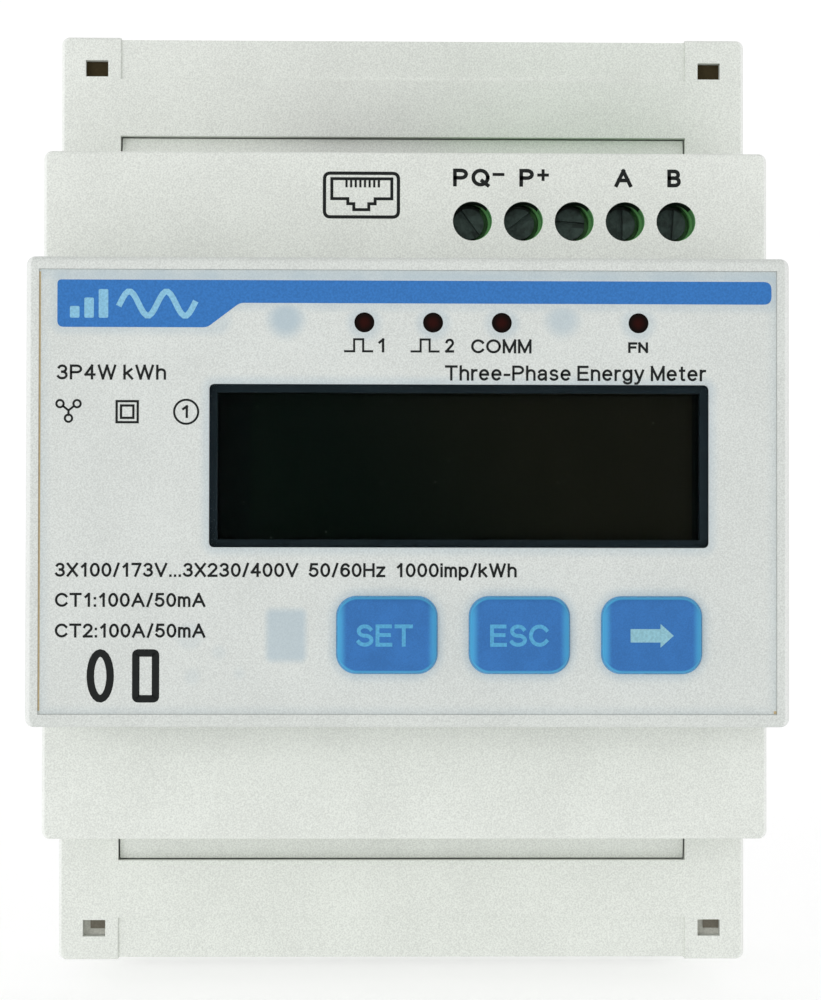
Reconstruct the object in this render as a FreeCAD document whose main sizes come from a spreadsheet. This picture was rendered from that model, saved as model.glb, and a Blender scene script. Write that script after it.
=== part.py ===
import FreeCAD, Part
import os
import re
import PartDesign
import Sketcher

# Rail mounted three-phase electric meter, in millimetres.
# X is the width, +Z is up and the front faces -Y. The origin is the centre of the face that rests on the rail.
# A "level" is a height above that face towards the front, so level = -Y.

V = FreeCAD.Vector
doc = FreeCAD.newDocument("electric_meter")

SIZES = {
    # housing
    "case_width": 72.0,
    "front_height": 44.3,
    "mid_height": 68.3,
    "low_height": 97.0,
    "front_level": 58.5,
    "mid_level": 44.0,
    "low_level": 27.6,
    "split_level": 17.0,
    "foot_depth": 6.5,
    "wall": 2.0,
    "cover_wall": 1.8,
    "floor": 2.2,
    "corner_round": 0.8,
    "edge_round": 0.4,
    "rim_round": 0.6,
    "split_round": 0.2,
    "joint_gap": 0.1,
    "cover_side_gap": 0.15,
    "notch_width": 59.6,
    "notch_end": 38.1,
    "notch_near": 27.4,
    "notch_far": 26.6,
    # rail and latch
    "rail_channel": 35.4,
    "hook_slot": 1.3,
    "hook_reach": 2.1,
    "seat_height": 30.6,
    "seat_step": 0.2,
    "latch_width": 15.8,
    "latch_back": 4.6,
    "latch_front": 1.6,
    "latch_play": 0.3,
    "latch_end": 46.5,
    "tab_width": 11.4,
    "tab_end": 51.5,
    "window_width": 4.0,
    "window_top": 24.0,
    "window_end": 42.3,
    "peg_top": 40.0,
    "peg_end": 42.0,
    "wire_radius": 0.25,
    "coil_radius": 1.2,
    "coil_pitch": 1.5,
    # screws that hold the housing together
    "boss_x": 30.5,
    "boss_z": 30.0,
    "boss_radius": 3.6,
    "fixing_radius": 1.45,
    "fixing_head_radius": 2.7,
    "fixing_head": 2.4,
    "fixing_floor": -2.0,
    "fixing_end": 22.5,
    # front cover
    "rim": 1.2,
    "panel_front": 57.9,
    "panel_back": 56.4,
    "film": 0.4,
    "film_gap": 0.04,
    "film_side_gap": 0.18,
    "spigot_width": 67.0,
    "spigot_height": 40.0,
    "spigot_wall": 1.2,
    "spigot_depth": 2.4,
    "window_x0": -18.77,
    "window_x1": 28.32,
    "window_z0": -5.22,
    "window_z1": 10.15,
    "window_border": 0.74,
    "window_round": 0.5,
    "window_front": 58.25,
    "window_back": 57.35,
    # keys and indicators
    "key_width": 9.3,
    "key_height": 7.09,
    "key_round": 1.9,
    "key_x": 10.46,
    "key_pitch": 12.48,
    "key_z": -13.45,
    "key_gap": 0.13,
    "key_front": 59.1,
    "key_edge": 0.6,
    "lamp_z": 16.0,
    "lamp_radius": 0.93,
    "lamp_front": 58.2,
    # boards
    "board": 1.6,
    "display_board_level": 47.4,
    "comm_board_level": 26.0,
    "power_board_level": 5.0,
    # small screws seen through the middle step
    "signal_x": 16.46,
    "signal_sight": 0.3,
    "signal_z": 27.3,
    "signal_pitch": 5.08,
    "signal_hole": 1.95,
    "partition": 33.4,
    "partition_wall": 1.5,
    # voltage terminals, above the meter body
    "voltage_pitch": 17.0,
    # current transformer terminals, below the meter body
    "ct_pitch": 5.08,
}

# One terminal of each kind. z is measured from the rail centre line, and levels from the rail face.
TERMINALS = {
    "signal": {
        "z": 27.3, "head_radius": 1.55, "head_top": 41.3, "head": 1.2, "shank_radius": 1.0,
        "shank_end": 35.7, "slot": 0.58, "well_radius": 1.95, "well_floor": 40.0, "shelf_back": 38.8,
        "cage_half": 1.55, "cage_z0": 25.5, "cage_z1": 29.1, "cage_back": 31.0, "cage_front": 37.0,
        "cage_wall": 0.45, "bar_back": 34.8, "bar_front": 35.6, "bar_half": 0.8,
        "block_z0": 22.4, "block_z1": 34.15, "block_back": 27.65, "block_front": 41.7,
        "entry_half": 1.4, "entry_back": 31.4, "entry_front": 34.6,
    },
    "voltage": {
        "z": 42.6, "head_radius": 2.6, "head_top": 15.9, "head": 1.2, "shank_radius": 1.95,
        "shank_end": 9.8, "slot": 0.9, "well_radius": 2.9, "well_floor": 14.6, "shelf_back": 13.8,
        "cage_half": 2.9, "cage_z0": 39.9, "cage_z1": 45.3, "cage_back": 3.3, "cage_front": 10.9,
        "cage_wall": 0.9, "bar_back": 8.6, "bar_front": 9.7, "bar_half": 1.6,
        "block_z0": 35.1, "block_z1": 46.35, "block_back": 2.3, "block_front": 16.4,
        "entry_half": 2.3, "entry_back": 4.0, "entry_front": 8.5,
    },
    "ct": {
        "z": 43.2, "head_radius": 1.67, "head_top": 15.9, "head": 1.2, "shank_radius": 1.0,
        "shank_end": 10.1, "slot": 0.58, "well_radius": 1.95, "well_floor": 14.5, "shelf_back": 13.3,
        "cage_half": 1.55, "cage_z0": 41.4, "cage_z1": 45.0, "cage_back": 5.6, "cage_front": 11.5,
        "cage_wall": 0.45, "bar_back": 9.2, "bar_front": 10.0, "bar_half": 0.8,
        "block_z0": 35.1, "block_z1": 46.35, "block_back": 2.3, "block_front": 16.4,
        "entry_half": 1.2, "entry_back": 6.4, "entry_front": 9.0,
    },
}
for kind, one in TERMINALS.items():
    for name, size in one.items():
        SIZES[f"{kind}_{name}"] = size

sheet = doc.addObject("Spreadsheet::Sheet", "Dims")
for row, (name, size) in enumerate(SIZES.items(), start=1):
    sheet.set(f"A{row}", name)
    sheet.set(f"B{row}", str(size))
    sheet.setAlias(f"B{row}", name)
doc.recompute()


def formula(text):
    """Point each size name in the text at its cell of the sheet."""
    return re.sub(r"[a-z]\w+", lambda m: "Dims." + m.group() if m.group() in SIZES else m.group(), str(text))


def bind(thing, prop, text):
    thing.setExpression(prop, formula(text))


# ---- sketch based bodies ----

PLANES = {"front": "XZ_Plane", "top": "XY_Plane", "side": "YZ_Plane"}
parts = {}


def make_body(label):
    body = doc.addObject("PartDesign::Body", label)
    body.Label = label
    parts[label] = body
    return body


def sketch(body, plane, level):
    """A sketch parallel to the front (X, Z), top (X, Y) or side (Y, Z) plane."""
    drawing = body.newObject("Sketcher::SketchObject", "Sketch")
    base = next(f for f in body.Origin.OriginFeatures if f.Role == PLANES[plane])
    drawing.AttachmentSupport = [(base, "")]
    drawing.MapMode = "FlatFace"
    bind(drawing, "AttachmentOffset.Base.z", level)
    return drawing


def pin_point(drawing, edge, point, u, v):
    """Fix one point of a sketch edge at the distances u and v from the sketch's origin."""
    for kind, text in (("DistanceX", u), ("DistanceY", v)):
        at = drawing.addConstraint(Sketcher.Constraint(kind, -1, 1, edge, point, 1.0))
        bind(drawing, f"Constraints[{at}]", text)


def draw_polygon(drawing, corners):
    start = drawing.GeometryCount
    count = len(corners)
    loose = [V(5, 0, 0)]
    for i in range(1, count):
        turn = FreeCAD.Rotation(V(0, 0, 1), 360 * i / count)
        loose.append(turn.multVec(loose[0]))
    for i in range(count):
        drawing.addGeometry(Part.LineSegment(loose[i], loose[(i + 1) % count]), False)
    for i in range(count):
        drawing.addConstraint(Sketcher.Constraint("Coincident", start + i, 2, start + (i + 1) % count, 1))
    for i, (u, v) in enumerate(corners):
        pin_point(drawing, start + i, 1, u, v)


def draw_box(drawing, u0, u1, v0, v1):
    draw_polygon(drawing, [(u0, v0), (u1, v0), (u1, v1), (u0, v1)])


def draw_circle(drawing, u, v, radius):
    edge = drawing.addGeometry(Part.Circle(V(0, 0, 0), V(0, 0, 1), 1.0), False)
    pin_point(drawing, edge, 3, u, v)
    at = drawing.addConstraint(Sketcher.Constraint("Radius", edge, 1.0))
    bind(drawing, f"Constraints[{at}]", radius)


def extrude(body, kind, drawing, length):
    feature = body.newObject(f"PartDesign::{kind}", kind)
    feature.Profile = drawing
    bind(feature, "Length", length)
    drawing.Visibility = False
    return feature


def shape_boxes(body, kind, plane, level, length, boxes):
    """Pad or pocket a set of rectangles."""
    drawing = sketch(body, plane, level)
    for box in boxes:
        draw_box(drawing, *box)
    return extrude(body, kind, drawing, length)


def shape_circles(body, kind, plane, level, length, circles):
    drawing = sketch(body, plane, level)
    for circle in circles:
        draw_circle(drawing, *circle)
    return extrude(body, kind, drawing, length)


def centred(width, height):
    return (f"-({width})/2", f"({width})/2", f"-({height})/2", f"({height})/2")


def mirrored_x(boxes):
    return boxes + [(f"-({x1})", f"-({x0})", z0, z1) for x0, x1, z0, z1 in boxes]


def upright(z0, z1, side):
    """A z range above the centre line, or its mirror image below it."""
    return (z0, z1) if side > 0 else (f"-({z1})", f"-({z0})")


def is_deep(edge):
    """True for a straight edge that runs from front to back."""
    return "Line" in edge.Curve.TypeId and abs(edge.tangentAt(edge.FirstParameter).y) > 0.99


def is_at_level(edge, level):
    return all(abs(corner.Point.y + level) < 0.01 for corner in edge.Vertexes)


def blend(body, radius, wanted):
    """Round the edges of the body so far that the test picks out."""
    doc.recompute()
    tip = body.Tip
    names = [f"Edge{i}" for i, edge in enumerate(tip.Shape.Edges, start=1) if wanted(edge)]
    if not names:
        raise ValueError(f"{body.Label} has no edge to round")
    feature = body.newObject("PartDesign::Fillet", "Fillet")
    feature.Base = (tip, names)
    bind(feature, "Radius", radius)
    return feature


# ---- primitives ----


def box(x0, x1, back, front, z0, z1):
    """A block between two widths, two levels and two heights."""
    block = doc.addObject("Part::Box", "Block")
    bind(block, "Length", f"({x1}) - ({x0})")
    bind(block, "Width", f"({front}) - ({back})")
    bind(block, "Height", f"({z1}) - ({z0})")
    bind(block, "Placement.Base.x", x0)
    bind(block, "Placement.Base.y", f"-({front})")
    bind(block, "Placement.Base.z", z0)
    return block


def rod(x, z, back, front, radius):
    """A round bar that runs from one level to another."""
    bar = doc.addObject("Part::Cylinder", "Rod")
    bar.Placement.Rotation = FreeCAD.Rotation(V(1, 0, 0), 90)
    bind(bar, "Radius", radius)
    bind(bar, "Height", f"({front}) - ({back})")
    bind(bar, "Placement.Base.x", x)
    bind(bar, "Placement.Base.y", f"-({back})")
    bind(bar, "Placement.Base.z", z)
    return bar


def fuse(shapes):
    joined = doc.addObject("Part::MultiFuse", "Fuse")
    joined.Shapes = shapes
    return joined


def cut(base, tools):
    result = doc.addObject("Part::Cut", "Cut")
    result.Base = base
    result.Tool = fuse(tools) if len(tools) > 1 else tools[0]
    return result


def rounded(base, radius, wanted):
    doc.recompute()
    result = doc.addObject("Part::Fillet", "Rounded")
    result.Base = base
    edges = [i for i, edge in enumerate(base.Shape.Edges, start=1) if wanted(edge)]
    result.Edges = [(i, SIZES[radius], SIZES[radius]) for i in edges]
    return result


def keep(label, shape):
    """Name a finished piece. It becomes a file of the same name."""
    shape.Label = label
    parts[label] = shape
    return shape


def keep_group(label, shapes):
    group = doc.addObject("Part::Compound", "Group")
    group.Links = shapes
    return keep(label, group)


# ---- rear base: terminal chambers, rail channel and latch guide ----

inner_x = "case_width/2 - wall"
low_end = "low_height/2"
bosses = [(f"{a}*boss_x", f"{b}*boss_z") for a in (-1, 1) for b in (-1, 1)]
ways = {
    "signal": [f"signal_x + ({i - 2})*signal_pitch" for i in range(5)],
    "voltage": [f"({i - 1.5})*voltage_pitch" for i in range(4)],
    "ct": [f"({i - 5.5})*ct_pitch" for i in range(12)],
}

base = make_body("rear_base")
shape_boxes(base, "Pad", "front", "-foot_depth", "split_level + foot_depth",
            [centred("case_width", "low_height")])
blend(base, "corner_round", is_deep)
blend(base, "split_round", lambda edge: is_at_level(edge, SIZES["split_level"]))
shape_boxes(base, "Pocket", "front", "split_level", "split_level - floor",
            [centred("case_width - 2*wall", "low_height - 2*wall")])
partitions = [(f"-({inner_x})", inner_x, *upright("partition", "partition + partition_wall", side))
              for side in (1, -1)]
shape_boxes(base, "Pad", "front", "floor - 0.1", "split_level - floor + 0.1", partitions)
hollows = [(f"-({inner_x})", inner_x, "19.9", "partition"),
           ("-30", "30", "37", "44.5")]
hollows += mirrored_x([("10.5", inner_x, "-partition", "-19.9"), ("10.5", "30", "-44.5", "-37")])
shape_boxes(base, "Pocket", "front", "floor", "floor + foot_depth - wall", hollows)
shape_circles(base, "Pad", "front", "-foot_depth", "split_level + foot_depth",
              [(x, z, "boss_radius + 0.2") for x, z in bosses])
shape_circles(base, "Pad", "front", "floor - 0.1", "power_board_level - floor + 0.1",
              [(f"{a}*29", f"{b}*14", "2") for a in (-1, 1) for b in (-1, 1)])

rail = sketch(base, "side", "case_width/2 + 1")
draw_polygon(rail, [("-seat_step", "-rail_channel/2"), ("-seat_step", "-seat_height/2"),
                    ("0", "-seat_height/2"),
                    ("0", "seat_height/2"), ("-seat_step", "seat_height/2"), ("-seat_step", "rail_channel/2"),
                    ("hook_slot", "rail_channel/2"),
                    ("hook_slot", "rail_channel/2 - hook_reach"),
                    ("foot_depth + 0.2", "rail_channel/2 - hook_reach + 0.9"),
                    ("foot_depth + 0.2", "-rail_channel/2")])
extrude(base, "Pocket", rail, "case_width + 2")

shape_circles(base, "Pocket", "front", "split_level + 1", "split_level + foot_depth + 2",
              [(x, z, "fixing_radius + 0.2") for x, z in bosses])
shape_circles(base, "Pocket", "front", "fixing_floor", "foot_depth + 1",
              [(x, z, "fixing_head_radius + 0.2") for x, z in bosses])

guide = sketch(base, "top", "-rail_channel/2 + 0.1")
guide_half = "latch_width/2 + latch_play"
mouth_half = "tab_width/2 + latch_play"
guide_back = "latch_back + latch_play"
draw_polygon(guide, [(f"-({guide_half})", "hook_slot"), (guide_half, "hook_slot"), (guide_half, guide_back),
                     (mouth_half, guide_back), (mouth_half, "foot_depth + 0.2"),
                     (f"-({mouth_half})", "foot_depth + 0.2"),
                     (f"-({mouth_half})", guide_back), (f"-({guide_half})", guide_back)])
extrude(base, "Pocket", guide, "low_height/2 - rail_channel/2 + 1")
shape_boxes(base, "Pad", "front", "-latch_back + 0.2", "latch_back - hook_slot + 0.3",
            [("-window_width/2 + latch_play", "window_width/2 - latch_play", "-peg_end", "-peg_top")])

shape_boxes(base, "Pocket", "top", f"{low_end} + 0.1", "wall + 0.2",
            [(f"{x} - voltage_entry_half - 0.4", f"{x} + voltage_entry_half + 0.4",
              "-voltage_entry_front - 0.4", "-voltage_entry_back + 0.4") for x in ways["voltage"]])
shape_boxes(base, "Pocket", "top", f"-{low_end} + wall + 0.1", "wall + 0.2",
            [(f"{x} - ct_entry_half - 0.3", f"{x} + ct_entry_half + 0.3",
              "-ct_entry_front - 0.3", "-ct_entry_back + 0.3") for x in ways["ct"]])

# ---- middle housing ----

mid = make_body("mid_case")
shape_boxes(mid, "Pad", "front", "split_level", "mid_level - split_level",
            [centred("case_width", "mid_height")])
blend(mid, "corner_round", is_deep)
blend(mid, "edge_round", lambda edge: is_at_level(edge, SIZES["mid_level"]))
blend(mid, "split_round", lambda edge: is_at_level(edge, SIZES["split_level"]))
shape_boxes(mid, "Pocket", "front", "mid_level - wall", "mid_level - wall - split_level",
            [centred("case_width - 2*wall", "mid_height - 2*wall")])
for side in (1, -1):
    skirt = sketch(mid, "side", f"-({inner_x}) + 0.4")
    slope = [("24.8", "mid_height/2 - 0.2"), ("18.9", "39.7"), ("split_level", "39.7"),
             ("split_level", "mid_height/2 - 0.2")]
    draw_polygon(skirt, [(f"-({level})", z if side > 0 else f"-({z})") for level, z in slope])
    extrude(mid, "Pad", skirt, f"2*({inner_x} - 0.4)")
    ledge = sketch(mid, "side", "-notch_width/2 + cover_side_gap")
    slope = [("notch_near", "mid_height/2 - 0.2"), ("notch_far", "notch_end - cover_side_gap"),
             ("20", "notch_end - cover_side_gap"), ("20", "mid_height/2 - 0.2")]
    draw_polygon(ledge, [(f"-({level})", z if side > 0 else f"-({z})") for level, z in slope])
    extrude(mid, "Pad", ledge, "notch_width - 2*cover_side_gap")
shape_boxes(mid, "Pocket", "front", "mid_level", "wall", [centred("spigot_width + 0.4", "spigot_height + 0.4")])
shape_circles(mid, "Pocket", "front", "mid_level", "wall",
              [(f"{x} + signal_sight", "signal_z", "signal_hole") for x in ways["signal"]])
shape_boxes(mid, "Pocket", "top", "mid_height/2 + 0.1", "wall + 0.2",
            [("-12.45", "29.65", "-signal_block_front - 0.1", "-signal_block_back + 0.2")])
shape_circles(mid, "Pad", "front", "split_level", "fixing_end - split_level + 1.5",
              [(x, z, "boss_radius") for x, z in bosses])
shape_circles(mid, "Pocket", "front", "fixing_end + 0.4", "fixing_end + 0.4 - split_level",
              [(x, z, "fixing_radius + 0.03") for x, z in bosses])
shape_circles(mid, "Pad", "front", "comm_board_level + board",
              "mid_level - comm_board_level - board - wall + 0.1",
              [(f"{a}*31.2", f"{b}*22.6", "1.6") for a in (-1, 1) for b in (-1, 1)])

# ---- front cover ----

front = make_body("front_cover")
shape_boxes(front, "Pad", "front", "mid_level", "front_level - mid_level",
            [centred("case_width", "front_height")])
blend(front, "corner_round", is_deep)
blend(front, "rim_round", lambda edge: is_at_level(edge, SIZES["front_level"]))
blend(front, "split_round", lambda edge: is_at_level(edge, SIZES["mid_level"]))
shape_boxes(front, "Pocket", "front", "panel_back", "panel_back - mid_level",
            [centred("case_width - 2*cover_wall", "front_height - 2*cover_wall")])
spigot_hole = centred("spigot_width - 2*spigot_wall", "spigot_height - 2*spigot_wall")
shape_boxes(front, "Pad", "front", "mid_level", "1.5",
            [centred("case_width - 2*cover_wall + 0.2", "front_height - 2*cover_wall + 0.2"), spigot_hole])
shape_boxes(front, "Pad", "front", "mid_level - spigot_depth", "spigot_depth + 0.1",
            [centred("spigot_width", "spigot_height"), spigot_hole])
shape_boxes(front, "Pocket", "front", "front_level", "front_level - panel_front",
            [centred("case_width - 2*rim", "front_height - 2*rim")])


def grown(box_sides, by):
    x0, x1, z0, z1 = box_sides
    return (f"{x0} - {by}", f"{x1} + {by}", f"{z0} - {by}", f"{z1} + {by}")


window = ("window_x0", "window_x1", "window_z0", "window_z1")
key_centres = [f"key_x + ({i})*key_pitch" for i in (-1, 0, 1)]
keys = [(f"{x} - key_width/2", f"{x} + key_width/2", "key_z - key_height/2", "key_z + key_height/2")
        for x in key_centres]
lamps = ["-4.2", "2.28", "8.77", "21.7"]

shape_boxes(front, "Pocket", "front", "panel_front", "panel_front - panel_back",
            [grown(window, "0.2")] + [grown(key, "key_gap") for key in keys])
blend(front, "key_round", lambda edge: is_deep(edge) and -18 < edge.CenterOfMass.z < -9 and edge.Length < 2)
shape_circles(front, "Pocket", "front", "panel_front", "panel_front - panel_back",
              [(x, "lamp_z", "lamp_radius + 0.1") for x in lamps])
shape_circles(front, "Pad", "front", "display_board_level + board",
              "panel_back - display_board_level - board + 0.1",
              [(f"{a}*30.2", f"{b}*16.6", "1.5") for a in (-1, 1) for b in (-1, 1)])

film = make_body("face_overlay")
shape_boxes(film, "Pad", "front", "panel_front", "film",
            [("-case_width/2 + rim + film_side_gap", "case_width/2 - rim - film_gap",
              "-front_height/2 + rim + film_gap", "front_height/2 - rim - film_gap")])
shape_boxes(film, "Pocket", "front", "panel_front + film", "film",
            [grown(window, "0.08")] + [grown(key, "key_gap") for key in keys])
blend(film, "key_round", lambda edge: is_deep(edge) and -18 < edge.CenterOfMass.z < -9)
shape_circles(film, "Pocket", "front", "panel_front + film", "film",
              [(x, "lamp_z", "lamp_radius + 0.02") for x in lamps])

pane = make_body("display_window")
shape_boxes(pane, "Pad", "front", "window_back", "window_front - window_back", [window])
blend(pane, "window_round", is_deep)

gasket = make_body("display_gasket")
shape_boxes(gasket, "Pad", "front", "window_back - 1.05", "1", [window])
blend(gasket, "window_round", is_deep)
shape_boxes(gasket, "Pocket", "front", "window_back - 0.05", "1", [grown(window, "(-window_border)")])

keep("lcd_panel", box("-22", "31.3", "53.6", "55.6", "-6.6", "11.6"))
keep("lcd_backlight", box("-21", "30.3", "49.05", "53.55", "-5.6", "10.6"))
keep("display_board", box("-31.9", "31.9", "display_board_level", "display_board_level + board", "-18.4",
                          "18.4"))
board_top = "display_board_level + board"
keep_group("indicator_leds", [fuse([rod(x, "lamp_z", f"{board_top} + 0.05", "lamp_front", "lamp_radius"),
                                    rod(x, "lamp_z", f"{board_top} + 0.05", "54", "1.5")]) for x in lamps])

# ---- keys, each with the plunger of its switch ----

switches = []
for label, x in zip(("set_key", "esc_key", "next_key"), key_centres):
    cap = rounded(box(f"{x} - key_width/2", f"{x} + key_width/2", "panel_back - 0.6", "key_front",
                      "key_z - key_height/2", "key_z + key_height/2"), "key_round", is_deep)
    cap = rounded(cap, "key_edge", lambda edge: is_at_level(edge, SIZES["key_front"]))
    flange = box(f"{x} - key_width/2 - 0.8", f"{x} + key_width/2 + 0.8", "panel_back - 1.1", "panel_back - 0.3",
                 "key_z - key_height/2 - 0.6", "key_z + key_height/2 + 0.6")
    stem = rod(x, "key_z", "53.2", "panel_back - 0.8", "1.5")
    plunger = rod(x, "key_z", "51.6", "53.15", "1.3")
    keep_group(label, [fuse([cap, flange, stem]), plunger])
    switches.append(cut(box(f"{x} - 3", f"{x} + 3", f"{board_top} + 0.05", "52.4", "key_z - 3", "key_z + 3"),
                        [rod(x, "key_z", "50.6", "53", "1.6")]))
keep_group("key_switches", switches)

# ---- boards and what they carry ----

keep("comm_board", box("-33.4", "33.4", "comm_board_level", "comm_board_level + board", "-31", "31.9"))
keep("power_board", box("-33", "33", "power_board_level", "power_board_level + board", "-25.5", "25.5"))
keep_group("board_headers", [
    box("-26.3", "-23.7", "power_board_level + board + 0.05", "comm_board_level - 0.05", "-20", "0"),
    box("-26.3", "-23.7", "comm_board_level + board + 0.05", "display_board_level - 0.05", "-18", "-2"),
])
keep_group("supply_capacitors", [rod(str(x), "13", "power_board_level + board + 0.05", "22.6", "5")
                                 for x in (-14, -3, 8)])
varistors = []
for x in (-10, 2, 14):
    disc = doc.addObject("Part::Cylinder", "Disc")
    disc.Placement.Rotation = FreeCAD.Rotation(V(0, 1, 0), 90)
    disc.Radius = 5
    disc.Height = 4
    bind(disc, "Placement.Base.x", str(x))
    bind(disc, "Placement.Base.y", "-(power_board_level + board + 5.4)")
    disc.Placement.Base.z = -14
    varistors.append(disc)
keep_group("surge_varistors", varistors)

# ---- network jack on the upper face of the middle step ----

jack_body = box("-12.23", "3.37", "comm_board_level + board + 0.05", "41", "18", "mid_height/2")
keep("rj45_jack", cut(jack_body, [box("-10.3", "1.44", "31.2", "38.2", "21.5", "mid_height/2 + 1"),
                                  box("-7.43", "-1.43", "29.4", "31.4", "24", "mid_height/2 + 1"),
                                  box("-6.23", "-2.63", "28.6", "29.5", "26", "mid_height/2 + 1")]))

# ---- terminals ----


def screw(kind, label, x, side, angle):
    """A slotted screw, made on its own axis and then put in place."""
    head = rod("0", "0", f"{kind}_head_top - {kind}_head", f"{kind}_head_top", f"{kind}_head_radius")
    shank = rod("0", "0", f"{kind}_shank_end", f"{kind}_head_top - {kind}_head", f"{kind}_shank_radius")
    slot = box(f"-{kind}_head_radius - 1", f"{kind}_head_radius + 1", f"{kind}_head_top - 0.6",
               f"{kind}_head_top + 1",
               f"-{kind}_slot/2", f"{kind}_slot/2")
    whole = cut(fuse([head, shank]), [slot])
    whole.Placement.Rotation = FreeCAD.Rotation(V(0, 1, 0), -angle)
    bind(whole, "Placement.Base.x", x)
    bind(whole, "Placement.Base.z", f"{side}*{kind}_z")
    keep(label, whole)


def cage(kind, x, side):
    """The rising cage that grips the wire: a frame with a clear hole for the screw."""
    half = f"{kind}_cage_half"
    z0, z1 = upright(f"{kind}_cage_z0", f"{kind}_cage_z1", side)
    outer = box(f"{x} - {half}", f"{x} + {half}", f"{kind}_cage_back", f"{kind}_cage_front", z0, z1)
    inside = box(f"{x} - {half} + {kind}_cage_wall", f"{x} + {half} - {kind}_cage_wall",
                 f"{kind}_cage_back + {kind}_cage_wall",
                 f"{kind}_cage_front - {kind}_cage_wall", f"{z0} - 1", f"{z1} + 1")
    hole = rod(x, f"{side}*{kind}_z", f"{kind}_cage_front - 2*{kind}_cage_wall", f"{kind}_cage_front + 1",
               f"{kind}_shank_radius + 0.05")
    return cut(outer, [inside, hole])


def contact(kind, x, side):
    """The fixed bar inside the cage."""
    z0, z1 = upright(f"{kind}_block_z0 + 0.1", f"{kind}_cage_z1 - 0.1", side)
    return box(f"{x} - {kind}_bar_half", f"{x} + {kind}_bar_half", f"{kind}_bar_back", f"{kind}_bar_front", z0,
               z1)


def terminal_block(kind, label, x0, x1, side):
    z0, z1 = upright(f"{kind}_block_z0", f"{kind}_block_z1", side)
    block = box(x0, x1, f"{kind}_block_back", f"{kind}_block_front", z0, z1)
    tools = []
    for x in ways[kind]:
        at = f"{side}*{kind}_z"
        tools.append(rod(x, at, f"{kind}_well_floor", f"{kind}_block_front + 1", f"{kind}_well_radius"))
        tools.append(rod(x, at, f"{kind}_shelf_back - 0.5", f"{kind}_well_floor + 0.5",
                         f"{kind}_shank_radius + 0.15"))
        z0, z1 = upright(f"{kind}_cage_z0 - 0.25", f"{kind}_cage_z1 + 0.25", side)
        tools.append(box(f"{x} - {kind}_cage_half - 0.25", f"{x} + {kind}_cage_half + 0.25",
                         f"{kind}_cage_back - 0.3", f"{kind}_shelf_back", z0, z1))
        z0, z1 = upright(f"{kind}_cage_z1", f"{kind}_block_z1 + 1", side)
        tools.append(box(f"{x} - {kind}_entry_half", f"{x} + {kind}_entry_half", f"{kind}_entry_back",
                         f"{kind}_entry_front", z0, z1))
        z0, z1 = upright(f"{kind}_block_z0 - 1", f"{kind}_cage_z0", side)
        tools.append(box(f"{x} - {kind}_bar_half - 0.05", f"{x} + {kind}_bar_half + 0.05",
                         f"{kind}_bar_back - 0.05",
                         f"{kind}_bar_front + 0.05", z0, z1))
    keep(label, cut(block, tools))


terminal_block("signal", "signal_terminal_block", "4.06", "29.46", 1)
terminal_block("voltage", "voltage_terminal_block", "-31.5", "31.5", 1)
terminal_block("ct", "ct_terminal_block", "-30.9", "30.9", -1)

for i, (x, angle) in enumerate(zip(ways["signal"], (-54, 38, -4, 90, 86)), start=1):
    screw("signal", f"signal_screw_{i}", x, 1, angle)
    keep(f"signal_clamp_{i}", cage("signal", x, 1))
for i, (x, angle) in enumerate(zip(ways["voltage"], (20, 65, 0, -35)), start=1):
    screw("voltage", f"voltage_screw_{i}", x, 1, angle)
    keep(f"voltage_clamp_{i}", cage("voltage", x, 1))
for i, x in enumerate(ways["ct"], start=1):
    screw("ct", f"ct_screw_{i}", x, -1, (37 * i) % 90)
keep_group("ct_clamps", [cage("ct", x, -1) for x in ways["ct"]])
keep_group("contact_bars", [contact("signal", x, 1) for x in ways["signal"]]
           + [contact("voltage", x, 1) for x in ways["voltage"]] + [contact("ct", x, -1) for x in ways["ct"]])

# ---- terminal covers ----

for label, side in (("upper_terminal_cover", 1), ("lower_terminal_cover", -1)):
    cover = make_body(label)
    near = "mid_height/2 + cover_side_gap"
    shape_boxes(cover, "Pad", "front", "split_level + joint_gap", "low_level - split_level - joint_gap",
                [("-case_width/2", "case_width/2", *upright(near, low_end, side))])
    blend(cover, "corner_round", lambda edge: is_deep(edge) and abs(edge.CenterOfMass.z) > 40)
    blend(cover, "edge_round", lambda edge: is_at_level(edge,
                                                        SIZES["low_level"]) and abs(edge.CenterOfMass.z) > 36)
    shape_boxes(cover, "Pocket", "front", "low_level - wall", "low_level - wall - split_level",
                [(f"-({inner_x})", inner_x, *upright(f"{near} - 0.1", f"{low_end} - wall", side))])
    notch = ("-notch_width/2", "notch_width/2")
    shape_boxes(cover, "Pocket", "front", "low_level", "wall + 0.1",
                [(*notch, *upright(f"{near} - 0.1", "notch_end", side))])
    shape_boxes(cover, "Pocket", "front", "low_level", "0.25",
                [(*notch, *upright("44.1", f"{low_end} + 1", side))])
    shape_boxes(cover, "Pocket", "front", "low_level", "low_level - split_level",
                [(*notch, *upright(f"{low_end} - 0.25", f"{low_end} + 1", side))])
    shape_boxes(cover, "Pad", "front", "21", "low_level - wall - 20.9",
                mirrored_x([("30.4", f"{inner_x} + 0.1", *upright("43.4", f"{low_end} - wall + 0.1", side))]))
    shape_boxes(cover, "Pad", "front", "11", "low_level - wall - 10.9",
                mirrored_x([("32.5", "33.7", *upright("40.8", "44.6", side))]))
    shape_boxes(cover, "Pocket", "front", "low_level", "low_level - 20.9",
                mirrored_x([("31.12", "33.48", *upright("44.34", "46.06", side))]))

# ---- rail latch and its spring ----

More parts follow.
